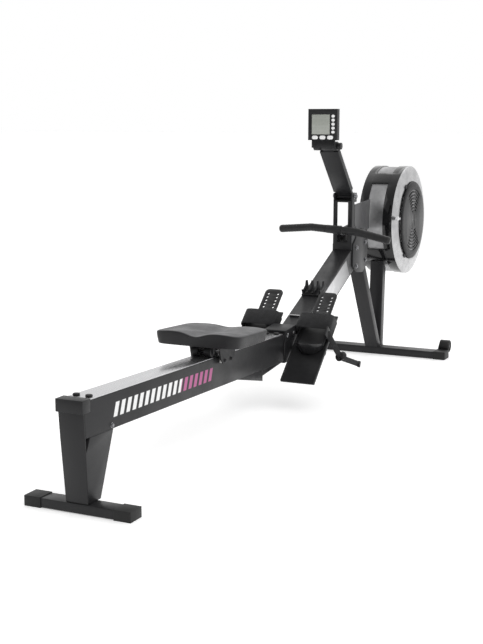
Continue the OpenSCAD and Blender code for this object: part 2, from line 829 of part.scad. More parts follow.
module seat_carriage() {
  deck = pad_gap - deck_t;
  color(black) on_track(seat_y) {
    translate([-58, -88, deck]) cube([116, 154, deck_t]);
    for (x = [-plate_x - 4, plate_x])
      yz_prism([[-52, deck], [62, deck], [50, -8], [34, -22], [-24, -22], [-40, -8]], x, x + 4);
    for (y = [-axle_gap / 2, axle_gap / 2]) translate([0, y, roller_r + 0.2]) {
      x_bar(4, -37, 37);
      for (x = [-37, 33]) translate([x, -7, -6]) cube([4, 14, deck - roller_r - 0.2 + 6]);
    }
  }
  color(steel) on_track(seat_y) for (side = [-1, 1], y = [-16, 24]) mirror([side < 0 ? 1 : 0, 0, 0])
    translate([plate_x + 4, y, -14]) bolt_head(4.5, 3.5);
}

module seat_guides() {
  gap = plate_x - rail_w / 2 - 0.5;
  color(white) on_track(seat_y) for (x = [-plate_x, rail_w / 2 + 0.5])
    translate([x, -24, -21]) cube([gap, 56, 15]);
}

module seat_roller(y) {
  color(rubber) on_track(seat_y) translate([0, y, roller_r + 0.2]) for (x = [-roller_x, roller_x])
    x_tube(roller_r, 4 + running, x - roller_len / 2, x + roller_len / 2);
}

module seat_roller_front() {
  seat_roller(axle_gap / 2);
}

module seat_roller_rear() {
  seat_roller(-axle_gap / 2);
}

// ---- Monitor ----

// A flat button's outline: a bar with round ends
module pill(w, h) {
  square([w - h, h], center = true);
  for (x = [-1, 1]) translate([x * (w - h) / 2, 0]) circle(d = h, $fn = 32);
}

// Puts its children on the monitor's face, where Z runs into the case
module on_face(x, z) {
  translate([x, monitor_y, monitor_low + z]) rotate([-90, 0, 0]) children();
}

module monitor_arm() {
  inner = upright_w / 2 - cheek_t - 1;
  color(black) difference() {
    union() {
      translate([0, pivot_y, pivot_z]) rotate([arm_lean, 0, 0]) {
        x_bar(arm_t / 2, -inner, inner);
        translate([-inner, -arm_t / 2 + 2, 0]) cube([2 * inner, arm_t - 4, arm_start + 2]);
        difference() {
          translate([-arm_w / 2, -arm_t / 2, arm_start])
            cube([arm_w, arm_t, arm_length - arm_start - clamp_r - 4]);
          translate([-arm_w / 2 + 3, -arm_t / 2 + 3, arm_start + 4])
            cube([arm_w - 6, arm_t - 6, arm_length - arm_start - clamp_r - 12]);
        }
        translate([-23, -8, arm_length - clamp_r - 6]) cube([41, 16, clamp_r]);
      }
      translate([0, clamp_y, clamp_z]) x_bar(clamp_r - 2, -25, 20);
    }
    translate([0, pivot_y, pivot_z]) x_bar(pin_r, -60, 60);
    translate([0, clamp_y, clamp_z]) x_bar(pin_r, -60, 60);
  }
}

module monitor_bracket() {
  back = monitor_y + monitor_t;
  color(black) {
    translate([0, clamp_y, clamp_z]) {
      x_bar(pin_r - running, -52, 40);
      x_bar(clamp_r, -52, -25.5);
      x_bar(clamp_r, 20.5, 35);
      translate([36, 0, 0]) rotate([0, 90, 0]) cylinder(r = 12, h = 14, $fn = 12);
      x_bar(8, 35, 36);
    }
    for (x = [-46, 21.5]) translate([x, back, clamp_z - 6]) cube([13, clamp_y - back - 6, 13]);
    translate([-50, back + 0.3, clamp_z - 6]) cube([88, 4, 80]);
  }
}

module monitor_case() {
  color(black) difference() {
    translate([-monitor_w / 2, monitor_y, monitor_low]) cube([monitor_w, monitor_t, monitor_h]);
    translate([screen_x, monitor_y - 1, monitor_low + screen_z]) cube([screen[0], 4, screen[1]]);
    for (k = [0 : 4]) on_face(button_x, button_top - k * button_step) translate([0, 0, -1])
      linear_extrude(7) pill(12 + 2 * button_gap, 10 + 2 * button_gap);
    for (k = [-1 : 1]) on_face(menu_x + k * menu_step, menu_z) translate([0, 0, -1])
      linear_extrude(7) pill(22 + 2 * button_gap, 13 + 2 * button_gap);
  }
}

module monitor_screen() {
  color([0.6, 0.62, 0.57]) translate([screen_x, monitor_y + 0.8, monitor_low + screen_z])
    cube([screen[0], 2.2, screen[1]]);
}

module side_button(k) {
  color(white) on_face(button_x, button_top - (k - 1) * button_step) translate([0, 0, -2])
    linear_extrude(5) pill(12, 10);
}

module menu_button(k) {
  color(white) on_face(menu_x + (k - 2) * menu_step, menu_z) translate([0, 0, -2])
    linear_extrude(5) pill(22, 13);
}

// ---- One line for each sub-part ----

rear_foot_tube();
front_foot_tube();
foot_caps();
rear_leg();
rail_end_cap();
rail();
rail_track();
seat_stops();
rail_gusset();
rail_receiver();
coupler_cover();
main_beam();
beam_panels();
upright();
gusset_plates();
frame_bolts();
front_strut();
front_post();
drum_neck();
strap_guide();
handle_cradle();
drum_frame();
drum_band();
left_cover();
right_cover_ring();
flywheel_axle();
foot_bracket();
footplates();
foot_straps();
right_cover_cap();
recoil_spring();
transport_wheel_left();
transport_wheel_right();
flywheel();
flywheel_bearings();
strap_spool();
drive_strap();
guide_roller();
handle_grip();
handle_yoke();
foot_slider_left();
foot_slider_right();
seat_pad();
seat_carriage();
seat_guides();
seat_roller_front();
seat_roller_rear();
damper_lever();
monitor_arm();
monitor_bracket();
monitor_case();
monitor_screen();
side_button(1);  // side_button_1
side_button(2);  // side_button_2
side_button(3);  // side_button_3
side_button(4);  // side_button_4
side_button(5);  // side_button_5
menu_button(1);  // menu_button_1
menu_button(2);  // menu_button_2
menu_button(3);  // menu_button_3
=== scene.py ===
"""The looks of an air-resistance rowing machine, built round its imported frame, in metres."""

import json
import logging
import math
from dataclasses import dataclass
from enum import Enum
from functools import cache, reduce
from typing import Callable, Iterable, Optional, Sequence, Union

import bmesh
import bpy
from mathutils import Matrix, Vector
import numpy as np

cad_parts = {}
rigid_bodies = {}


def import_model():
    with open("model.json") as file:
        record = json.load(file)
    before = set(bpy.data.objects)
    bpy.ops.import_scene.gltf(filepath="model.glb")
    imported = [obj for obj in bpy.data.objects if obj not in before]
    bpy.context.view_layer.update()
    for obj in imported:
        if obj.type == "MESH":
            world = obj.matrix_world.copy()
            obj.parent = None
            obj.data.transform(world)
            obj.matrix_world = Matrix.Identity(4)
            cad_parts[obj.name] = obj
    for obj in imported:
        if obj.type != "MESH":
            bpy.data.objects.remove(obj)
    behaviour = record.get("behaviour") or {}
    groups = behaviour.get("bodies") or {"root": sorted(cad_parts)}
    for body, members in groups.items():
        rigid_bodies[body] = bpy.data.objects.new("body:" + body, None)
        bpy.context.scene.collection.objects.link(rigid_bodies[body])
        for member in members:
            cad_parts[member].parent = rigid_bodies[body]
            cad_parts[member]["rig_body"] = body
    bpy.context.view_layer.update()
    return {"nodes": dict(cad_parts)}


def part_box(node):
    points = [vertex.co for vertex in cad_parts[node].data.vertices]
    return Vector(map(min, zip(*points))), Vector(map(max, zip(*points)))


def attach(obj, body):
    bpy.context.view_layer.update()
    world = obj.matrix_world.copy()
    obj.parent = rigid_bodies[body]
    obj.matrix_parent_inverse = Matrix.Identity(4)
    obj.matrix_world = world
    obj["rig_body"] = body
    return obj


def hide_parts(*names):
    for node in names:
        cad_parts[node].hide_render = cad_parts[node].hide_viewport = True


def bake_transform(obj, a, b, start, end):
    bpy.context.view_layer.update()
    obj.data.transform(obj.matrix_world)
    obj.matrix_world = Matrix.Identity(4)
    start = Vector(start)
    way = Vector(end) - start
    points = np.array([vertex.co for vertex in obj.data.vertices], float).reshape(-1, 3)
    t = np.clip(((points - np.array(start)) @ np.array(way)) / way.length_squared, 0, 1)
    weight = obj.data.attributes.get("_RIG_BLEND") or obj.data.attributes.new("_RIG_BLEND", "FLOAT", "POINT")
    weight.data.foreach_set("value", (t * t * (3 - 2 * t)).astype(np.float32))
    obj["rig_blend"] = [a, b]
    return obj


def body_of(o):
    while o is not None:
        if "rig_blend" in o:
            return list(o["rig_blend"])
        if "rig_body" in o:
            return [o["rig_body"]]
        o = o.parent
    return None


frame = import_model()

log = logging.getLogger("rower")
logging.basicConfig(level=logging.INFO, format="%(message)s")

Colour = tuple[float, float, float]
Point = tuple[float, float, float]
Ring = list[bmesh.types.BMEdge]
Socket = bpy.types.NodeSocket
Feed = Union[Socket, float, Sequence[float]]
Paint = Union[Socket, Colour]


# ---- Places taken from the frame ----


def middle(node: str) -> Vector:
    """The middle of a CAD node's box."""
    low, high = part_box(node)
    return (low + high) / 2


FAN = middle("flywheel_axle")
FAN.x = 0.0
RAIL_FALL = math.radians(1.8)


# ---- Shader work ----


class Tree:
    """Adds nodes to one node tree and joins them up."""

    def __init__(self, tree: bpy.types.NodeTree) -> None:
        """Keeps the material's or the group's own tree."""
        self.tree = tree

    def add(self, kind: str, links: Optional[dict[Union[str, int], Feed]] = None,
            **settings: object) -> bpy.types.Node:
        """Adds a node.

        Args:
            kind: the node's type name, without its ShaderNode prefix.
            links: input name or number, to a socket that feeds it or a plain value.
            settings: the node's own properties.

        Returns:
            The new node.
        """
        node = self.tree.nodes.new(kind if kind.startswith("NodeGroup") else "ShaderNode" + kind)
        for name, value in settings.items():
            setattr(node, name, value)
        for key, value in (links or {}).items():
            self.feed(node.inputs[key], value)
        return node

    def feed(self, socket: Socket, value: Feed) -> None:
        """Links a socket to another, or sets its plain value.

        Args:
            socket: the input to fill.
            value: another node's output, or a constant.
        """
        if isinstance(value, Socket):
            self.tree.links.new(value, socket)
        else:
            socket.default_value = value

    def maths(self, what: str, a: Feed, b: Feed = 0.0, clamp: bool = False) -> Socket:
        """The result of a Math node on two values or sockets."""
        return self.add("Math", {0: a, 1: b}, operation=what, use_clamp=clamp).outputs[0]

    def times(self, *values: Feed) -> Socket:
        """The product of several values or sockets."""
        return reduce(lambda a, b: self.maths("MULTIPLY", a, b), values)

    def ramp(self, value: Feed, low: float, high: float) -> Socket:
        """How far a value has come from low to high, held between zero and one."""
        return self.add("MapRange", {"Value": value, "From Min": low, "From Max": high}).outputs[0]

    def band(self, value: Feed, low: float, high: float, soft: float) -> Socket:
        """One where the value is between low and high, with edges as wide as soft, and zero outside."""
        return self.times(self.ramp(value, low - soft, low + soft), self.ramp(value, high + soft, high - soft))

    def stripes(self, value: Feed, pitch: float, low: float, high: float, soft: float) -> Socket:
        """A band that comes again at every pitch, its limits given as shares of the pitch."""
        return self.band(self.maths("FRACT", self.times(value, 1 / pitch)), low, high, soft)

    def noise(self, where: Socket, scale: Feed, detail: float, rough: float = 0.5) -> Socket:
        """Cloudy noise of a scale."""
        return self.add("TexNoise", {"Vector": where, "Scale": scale, "Detail": detail, "Roughness": rough}).outputs[0]

    def blend(self, share: Feed, a: Paint, b: Paint) -> Socket:
        """A colour between a and b."""
        ends = [paint if isinstance(paint, Socket) else (*paint, 1.0) for paint in (a, b)]
        return self.add("Mix", {0: share, 6: ends[0], 7: ends[1]}, data_type="RGBA").outputs[2]

    def split(self, vector: Socket) -> list[Socket]:
        """The three parts of a vector."""
        return list(self.add("SeparateXYZ", {0: vector}).outputs)

    def facing_up(self, least: float) -> Socket:
        """How much a face looks up, from zero at the least upward slope given to one when level."""
        return self.ramp(self.split(self.add("NewGeometry").outputs["Normal"])[2], least, 1.0)

    def group(self, group: bpy.types.NodeTree, *values: Feed) -> bpy.types.Node:
        """Places a shared group and feeds its inputs in their order."""
        return self.add("Group", dict(enumerate(values)), node_tree=group)


class Effects:
    """The shader effects that several finishes share, each one node group, built once."""

    @staticmethod
    def start(name: str, inputs: Sequence[str], outputs: Sequence[str]) -> tuple[Tree, list[Socket], list[Socket]]:
        """Begins a node group.

        Args:
            name: the group's name.
            inputs: its number inputs' names. A Vector input always comes first.
            outputs: the names of its number outputs.

        Returns:
            The group's Tree, the sockets that bring its inputs in, and those that take its outputs.
        """
        group = bpy.data.node_groups.new(name, "ShaderNodeTree")
        group.interface.new_socket("Vector", in_out="INPUT", socket_type="NodeSocketVector")
        for way, keys in (("INPUT", inputs), ("OUTPUT", outputs)):
            for key in keys:
                group.interface.new_socket(key, in_out=way, socket_type="NodeSocketFloat")
        tree = Tree(group)
        brought = tree.add("NodeGroupInput").outputs
        return tree, list(brought)[:len(inputs) + 1], tree.add("NodeGroupOutput").inputs

    @staticmethod
    @cache
    def grain() -> bpy.types.NodeTree:
        """Fine pebbled grain.

        Returns:
            The group. It gives a height, and a slow mask of where the grain is polished smooth.
        """
        tree, (where, scale, patch), out = Effects.start("grain", ("Scale", "Patch"), ("Height", "Polish"))
        cells = tree.add("TexVoronoi", {"Vector": where, "Scale": tree.times(scale, 0.6)}).outputs["Distance"]
        fine = tree.times(tree.noise(where, scale, 3.0), 0.6)
        tree.feed(out[0], tree.maths("ADD", fine, tree.times(cells, 0.5)))
        tree.feed(out[1], tree.ramp(tree.noise(where, patch, 5.0, 0.6), 0.38, 0.66))
        return tree.tree

    @staticmethod
    @cache
    def brushing() -> bpy.types.NodeTree:
        """Long fine lines along Y.

        Returns:
            The group. It gives a height and a streak mask.
        """
        tree, (where, across, along), out = Effects.start("brushing", ("Across", "Along"), ("Height", "Streak"))
        drawn = [tree.times(part, scale) for part, scale in zip(tree.split(where), (across, along, across))]
        place = tree.add("CombineXYZ", dict(enumerate(drawn))).outputs[0]
        lines = tree.noise(place, 1.0, 4.0)
        tree.feed(out[0], lines)
        tree.feed(out[1], tree.times(lines, tree.noise(place, 0.12, 2.0)))
        return tree.tree

    @staticmethod
    @cache
    def dust() -> bpy.types.NodeTree:
        """Thin settled dust on faces that look up, broken up by noise.

        Returns:
            The group. It gives a mask.
        """
        tree, (where, scale, amount), out = Effects.start("dust", ("Scale", "Amount"), ("Mask",))
        broken = tree.ramp(tree.noise(where, scale, 6.0), 0.35, 0.75)
        tree.feed(out[0], tree.times(tree.facing_up(0.3), broken, amount))
        return tree.tree

    @staticmethod
    @cache
    def scuffs() -> bpy.types.NodeTree:
        """Short fine scratches that cross each other, sparse and faint.

        Returns:
            The group. It gives a mask.
        """
        tree, (where, scale, amount), out = Effects.start("scuffs", ("Scale", "Amount"), ("Mask",))
        turned = tree.add("Mapping", {"Vector": where, "Rotation": (0.4, 0.9, 0.6), "Scale": (1.0, 14.0, 1.0)})
        lines = tree.add("TexVoronoi", {"Vector": turned.outputs[0], "Scale": scale}, feature="DISTANCE_TO_EDGE")
        patch = tree.ramp(tree.noise(where, scale, 2.0), 0.52, 0.7)
        tree.feed(out[0], tree.times(tree.ramp(lines.outputs[0], 0.03, 0.0), patch, amount))
        return tree.tree

    @staticmethod
    @cache
    def weave() -> bpy.types.NodeTree:
        """Plain-woven webbing over a UV map in metres.

        Returns:
            The group. It gives a height and a thread mask.
        """
        tree, (where, threads), out = Effects.start("weave", ("Threads",), ("Height", "Thread"))
        turn = tree.times(threads, math.pi)
        across, along = (tree.maths("SINE", tree.times(part, turn)) for part in tree.split(where)[:2])
        tree.feed(out[0], tree.maths("ADD", tree.times(across, along, 0.5), 0.5))
        tree.feed(out[1], tree.maths("ABSOLUTE", across))
        return tree.tree


@dataclass(frozen=True)
class Finish:
    """What every finish has: a name, the record's slot, a base colour, and how rough it is."""

    name: str
    slot: str
    colour: Colour
    rough: float = 0.5

    def start(self) -> tuple[bpy.types.Material, Tree, bpy.types.Node, Socket]:
        """Begins a material.

        Returns:
            The material, its tree, its Principled shader, and the object's own coordinates.
        """
        material = bpy.data.materials.new(self.name)
        material.use_nodes = True
        tree = Tree(material.node_tree)
        shader = next(n for n in material.node_tree.nodes if n.type == "BSDF_PRINCIPLED")
        return material, tree, shader, tree.add("TexCoord").outputs["Object"]

    def shade(self, times: float, plus: float = 0.0) -> Colour:
        """The finish's colour made lighter or darker."""
        return tuple(min(1.0, c * times + plus) for c in self.colour)

    def settle(self, shader: bpy.types.Node, constants: dict[str, Feed]) -> None:
        """Sets constants on the shader's sockets."""
        for name, value in constants.items():
            shader.inputs[name].default_value = value

    def bump(self, tree: Tree, shader: bpy.types.Node, height: Socket, strength: float, distance: float) -> None:
        """Feeds a height to the shader's normal."""
        bump = tree.add("Bump", {"Height": height, "Strength": strength, "Distance": distance})
        tree.feed(shader.inputs["Normal"], bump.outputs[0])

    def spread(self, tree: Tree, shader: bpy.types.Node, mask: Socket, width: float) -> None:
        """Lets the roughness wander round its middle by a mask."""
        rough = tree.add("MapRange", {"Value": mask, "To Min": self.rough - width, "To Max": self.rough + width})
        tree.feed(shader.inputs["Roughness"], rough.outputs[0])

    def make(self) -> bpy.types.Material:
        """Builds the material. Each kind of finish has its own."""
        raise NotImplementedError


@dataclass(frozen=True)
class Coating(Finish):
    """A pebbled skin with dust on what faces up and faint scuffs, which paint and plastic share."""

    grain: float = 700.0
    depth: float = 0.35
    coat: float = 0.0
    dusty: float = 0.02
    patch: float = 9.0
    relief: float = 0.0004
    wander: float = 0.07
    dust_scale: float = 55.0
    dirt: Colour = (0.42, 0.42, 0.41)
    scuff_scale: float = 26.0
    scuffed: float = 0.35
    bare: tuple[float, float] = (2.6, 0.0)

    def colours(self, tree: Tree, where: Socket, polish: Socket) -> Socket:
        """The skin's own colour, which each kind has its own way with."""
        raise NotImplementedError

    def make(self) -> bpy.types.Material:
        """Builds the skin.

        Returns:
            The material.
        """
        material, tree, shader, where = self.start()
        height, polish = tree.group(Effects.grain(), where, self.grain, self.patch).outputs
        dust = tree.group(Effects.dust(), where, self.dust_scale, self.dusty).outputs[0]
        scuffs = tree.group(Effects.scuffs(), where, self.scuff_scale, self.scuffed).outputs[0]
        base = tree.blend(dust, self.colours(tree, where, polish), self.dirt)
        tree.feed(shader.inputs["Base Color"], tree.blend(scuffs, base, self.shade(*self.bare)))
        self.spread(tree, shader, polish, self.wander)
        self.bump(tree, shader, height, self.depth, self.relief)
        self.settle(shader, {"Specular IOR Level": 0.3, "Coat Weight": self.coat, "Coat Roughness": 0.08})
        return material


@dataclass(frozen=True)
class PowderCoat(Coating):
    """Baked powder paint on steel, with orange peel."""

    def colours(self, tree: Tree, where: Socket, polish: Socket) -> Socket:
        """The paint's own colour, which a marked part changes."""
        return tree.blend(tree.noise(where, 5.0, 4.0), self.colour, self.shade(1.25, 0.004))


@dataclass(frozen=True)
class MarkedPaint(PowderCoat):
    """The rail's paint, with a row of plain slanted bars on its right side, white and then pink."""

    start_y: float = -1.14
    white_end: float = -0.79
    end_y: float = -0.60
    pitch: float = 0.03
    white: Colour = (0.78, 0.78, 0.78)
    pink: Colour = (0.42, 0.10, 0.25)

    def colours(self, tree: Tree, where: Socket, polish: Socket) -> Socket:
        """The paint with its bars.

        Args:
            tree: the material's tree.
            where: the object's coordinates.
            polish: the grain's mask.

        Returns:
            The colour's socket.
        """
        base = super().colours(tree, where, polish)
        x, y, z = tree.split(where)
        low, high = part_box("rail")
        line = tree.times(tree.maths("SUBTRACT", y, low.y), -math.tan(RAIL_FALL))
        height = tree.maths("SUBTRACT", z, tree.maths("ADD", line, high.z))
        slant = tree.maths("SUBTRACT", y, tree.times(height, 0.35))
        side = tree.maths("GREATER_THAN", x, high.x - 0.003)
        shape = tree.times(tree.band(height, -0.062, -0.026, 0.0006),
                           tree.stripes(slant, self.pitch, 0.2, 0.78, 0.02), side)
        for start, end, colour in ((self.start_y, self.white_end, self.white), (self.white_end, self.end_y, self.pink)):
            base = tree.blend(tree.times(shape, tree.band(slant, start, end, 0.0005)), base, colour)
        return base


@dataclass(frozen=True)
class SidePanel(PowderCoat):
    """The beam's pale side panel, with a painted shadow that darkens it towards its top, and a faint block pattern."""

    marked_from: float = 0.13
    marked_to: float = 0.26
    # Where the painted shadow begins, measured from the panel's lower end.
    painted_shadow_from: float = 0.2

    def colours(self, tree: Tree, where: Socket, polish: Socket) -> Socket:
        """The panel's grey, darkened towards its top by a painted shadow.

        Args:
            tree: the material's tree.
            where: the object's coordinates.
            polish: the grain's mask.

        Returns:
            The colour's socket.
        """
        low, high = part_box("beam_panels")
        y = tree.split(where)[1]
        # Painted shadow: the grey is darkened towards the panel's upper end.
        up = tree.ramp(y, low.y + self.painted_shadow_from, high.y)
        with_painted_shadow = tree.blend(up, super().colours(tree, where, polish), self.shade(0.3))
        cells = tree.add("TexVoronoi", {"Vector": where, "Scale": 60.0}, distance="CHEBYCHEV").outputs["Color"]
        spots = tree.maths("GREATER_THAN", tree.split(cells)[0], 0.62)
        part = tree.band(y, low.y + self.marked_from, low.y + self.marked_to, 0.004)
        return tree.blend(tree.times(spots, part, 0.35), with_painted_shadow, (0.75, 0.75, 0.75))


@dataclass(frozen=True)
class Plastic(Coating):
    """Moulded plastic or rubber, with the mould's grain."""

    grain: float = 1100.0
    depth: float = 0.3
    dusty: float = 0.015
    patch: float = 11.0
    relief: float = 0.0003
    wander: float = 0.06
    dust_scale: float = 70.0
    dirt: Colour = (0.45, 0.45, 0.44)
    scuff_scale: float = 34.0
    scuffed: float = 0.25
    bare: tuple[float, float] = (2.2, 0.01)

    def colours(self, tree: Tree, where: Socket, polish: Socket) -> Socket:
        """The plastic's own colour, lighter where it is polished."""
        return tree.blend(polish, self.colour, self.shade(1.2, 0.002))


@dataclass(frozen=True)
class Metal(Finish):
    """Bare metal, plain or brushed along Y."""

    brushed: bool = False
    aniso: float = 0.0

    def make(self) -> bpy.types.Material:
        """Builds the metal.

        Returns:
            The material.
        """
        material, tree, shader, where = self.start()
        lines = (Effects.brushing(), where, 1400.0, 5.0) if self.brushed else (Effects.grain(), where, 1500.0, 30.0)
        height, mask = tree.group(*lines).outputs
        scuffs = tree.group(Effects.scuffs(), where, 22.0, 0.4).outputs[0]
        base = tree.blend(mask, self.colour, self.shade(0.82))
        tree.feed(shader.inputs["Base Color"], tree.blend(scuffs, base, self.shade(0.6)))
        self.spread(tree, shader, mask, 0.08)
        self.bump(tree, shader, height, 0.12, 0.0002)
        self.settle(shader, {"Metallic": 1.0, "Anisotropic": self.aniso})
        return material


@dataclass(frozen=True)
class TurnedBlack(Finish):
    """Dark lacquer over a face turned on a lathe about the fan's axis, so that light draws out in streaks."""

    def make(self) -> bpy.types.Material:
        """Builds the turned face.

        Returns:
            The material.
        """
        material, tree, shader, where = self.start()
        _, y, z = tree.split(where)
        offs = [tree.maths("SUBTRACT", part, centre) for part, centre in ((y, FAN.y), (z, FAN.z))]
        reach = tree.maths("SQRT", tree.maths("ADD", *(tree.times(off, off) for off in offs)))
        rings = tree.noise(tree.add("CombineXYZ", {0: reach}).outputs[0], 1600.0, 2.0)
        tree.feed(shader.inputs["Base Color"], tree.blend(rings, self.colour, self.shade(1.5)))
        self.spread(tree, shader, rings, 0.05)
        self.bump(tree, shader, rings, 0.25, 0.0002)
        self.settle(shader, {"Metallic": 0.15, "Specular IOR Level": 0.12, "Anisotropic": 0.85})
        tree.feed(shader.inputs["Tangent"], tree.add("Tangent", direction_type="RADIAL", axis="X").outputs[0])
        return material


@dataclass(frozen=True)
class SeatSkin(Finish):
    """The seat's moulded foam skin: fine pebbles, worn a little smoother where the rower sits, and a painted highlight
    that lightens the faces that look up.
    """

    def make(self) -> bpy.types.Material:
        """Builds the skin.

        Returns:
            The material.
        """
        material, tree, shader, where = self.start()
        height, polish = tree.group(Effects.grain(), where, 620.0, 16.0).outputs
        dust = tree.group(Effects.dust(), where, 60.0, 0.02).outputs[0]
        # Painted highlight: faces that look up are made lighter, as if lit from above.
        base = tree.blend(tree.facing_up(0.55), self.colour, self.shade(3.0, 0.012))
        tree.feed(shader.inputs["Base Color"], tree.blend(dust, base, (0.4, 0.4, 0.4)))
        self.spread(tree, shader, polish, 0.08)
        self.bump(tree, shader, height, 0.5, 0.0006)
        self.settle(shader, {"Specular IOR Level": 0.3, "Sheen Weight": 0.04, "Sheen Roughness": 0.4})
        return material


@dataclass(frozen=True)
class Webbing(Finish):
    """Woven strap. Its pattern follows the strap's own UV map, in metres."""

    threads: float = 900.0

    def make(self) -> bpy.types.Material:
        """Builds the weave.

        Returns:
            The material.
        """
        material, tree, shader, where = self.start()
        uv = tree.add("UVMap", uv_map="strap").outputs[0]
        height, thread = tree.group(Effects.weave(), uv, self.threads).outputs
        polish = tree.group(Effects.grain(), where, 2200.0, 40.0).outputs["Polish"]
        base = tree.blend(thread, self.shade(0.6), self.colour)
        tree.feed(shader.inputs["Base Color"], tree.blend(tree.times(polish, 0.4), base, self.shade(1.8, 0.01)))
        self.spread(tree, shader, height, 0.08)
        self.bump(tree, shader, height, 0.6, 0.0004)
        self.settle(shader, {"Sheen Weight": 0.04, "Specular IOR Level": 0.25})
        return material


@dataclass(frozen=True)
class Display(Finish):
    """The monitor's unlit liquid-crystal window, with faint rows of plain dark bars under gloss."""

    row: float = 0.0138
    column: float = 0.0113
    ink: Colour = (0.12, 0.13, 0.11)

    def make(self) -> bpy.types.Material:
        """Builds the window.

        Returns:
            The material.
        """
        material, tree, shader, where = self.start()
        x, _, z = tree.split(where)
        low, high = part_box("monitor_screen")
        cells = tree.times(tree.stripes(tree.maths("SUBTRACT", z, low.z), self.row, 0.2, 0.62, 0.04),
                           tree.stripes(tree.maths("SUBTRACT", x, low.x), self.column, 0.16, 0.8, 0.05))
        inner = tree.times(tree.band(x, low.x + 0.008, high.x - 0.008, 0.0005),
                           tree.band(z, low.z + 0.006, high.z - 0.006, 0.0005))
        lines = tree.stripes(z, 2 * self.row, 0.0, 0.03, 0.01)
        marks = tree.maths("ADD", tree.times(cells, 0.1), tree.times(lines, 0.25), True)
        noise = tree.noise(where, 26.0, 2.0)
        plain = tree.blend(noise, self.colour, self.shade(0.9))
        tree.feed(shader.inputs["Base Color"], tree.blend(tree.times(marks, inner), plain, self.ink))
        self.spread(tree, shader, noise, 0.03)
        self.settle(shader, {"Coat Weight": 1.0, "Coat Roughness": 0.04})
        return material


@dataclass(frozen=True)
class Backdrop(Finish):
    """The plain pale floor, which glows a little."""

    glow: float = 0.0

    def make(self) -> bpy.types.Material:
        """Builds the floor's paint.

        Returns:
            The material.
        """
        material, tree, shader, where = self.start()
        base = tree.blend(tree.noise(where, 2.0, 3.0), self.colour, self.shade(0.99))
        tree.feed(shader.inputs["Base Color"], base)
        self.settle(shader, {"Roughness": self.rough, "Specular IOR Level": 0.0,
                             "Emission Color": (1.0, 1.0, 1.0, 1.0), "Emission Strength": self.glow})
        return material


class Look(Enum):
    """Every finish on the machine. A value is built into a material the first time it is asked for."""

    FRAME = PowderCoat("frame_paint", "frame_black", (0.011, 0.011, 0.012), 0.4)
    RAIL = MarkedPaint("rail_paint", "frame_black", (0.0095, 0.0095, 0.0105), 0.4)
    PANEL = SidePanel("side_panel", "panel_grey", (0.58, 0.58, 0.59), 0.36)
    NECK = PowderCoat("neck_paint", "frame_black", (0.055, 0.055, 0.057), 0.42)
    TRACK = Metal("running_track", "brushed_track", (0.62, 0.62, 0.63), 0.32, True, 0.5)
    CLIP_GREY = Plastic("grey_moulding", "moulded_grey", (0.36, 0.36, 0.37), 0.45)
    LEVER = Plastic("lever_moulding", "moulded_grey", (0.6, 0.6, 0.61), 0.4)
    MOULDED = Plastic("black_moulding", "moulded_black", (0.011, 0.011, 0.012), 0.46)
    BOARD = Plastic("footrest_moulding", "moulded_black", (0.0095, 0.0095, 0.0105), 0.42, 800.0, 0.4)
    CUP = Plastic("heel_cup_moulding", "moulded_black", (0.012, 0.012, 0.013), 0.34, 1200.0, 0.2, 0.15)
    GLOSS = Plastic("gloss_moulding", "gloss_black", (0.006, 0.006, 0.0065), 0.14, 1500.0, 0.05, 0.3, 0.01)
    RUBBER = Plastic("rubber", "black_rubber", (0.012, 0.012, 0.012), 0.55, 900.0, 0.5)
    GRIP = Plastic("grip_rubber", "black_rubber", (0.013, 0.013, 0.0135), 0.45, 1300.0, 0.4)
    SHELL = Plastic("monitor_moulding", "monitor_shell", (0.008, 0.008, 0.009), 0.42, 1400.0, 0.25)
    KEY = Plastic("key_rubber", "white_button", (0.74, 0.74, 0.74), 0.45, 1500.0, 0.15, 0.0, 0.0)
    NYLON = Plastic("glide_nylon", "nylon", (0.7, 0.7, 0.68), 0.4, 1500.0, 0.15)
    BAND = Metal("drum_band", "silver_band", (0.40, 0.40, 0.405), 0.55)
    SILVER = Metal("side_ring_metal", "silver_ring", (0.5, 0.5, 0.505), 0.32)
    BOLT = Metal("bolt_steel", "bright_steel", (0.22, 0.22, 0.23), 0.25)
    STEEL = Metal("zinc_steel", "bright_steel", (0.7, 0.7, 0.7), 0.28)
    TURNED = TurnedBlack("turned_cap", "gloss_black", (0.007, 0.007, 0.0075), 0.26)
    SEAT = SeatSkin("seat_skin", "seat_foam", (0.014, 0.014, 0.015), 0.46)
    STRAP = Webbing("foot_webbing", "webbing", (0.010, 0.010, 0.011), 0.6)
    DRIVE = Webbing("drive_webbing", "webbing", (0.012, 0.012, 0.012), 0.6, 1200.0)
    LCD = Display("display", "lcd", (0.33, 0.345, 0.31), 0.3)
    FLOOR = Backdrop("floor_paint", "", (0.95, 0.95, 0.95), 0.6, 0.29)

    @cache
    def material(self) -> bpy.types.Material:
        """The finish's material."""
        return self.value.make()


# ---- Mesh work ----

SOFT_FROM = 28.0
FLAT_BELOW = 0.6
WELD = 2e-6
CRISP = 50.0


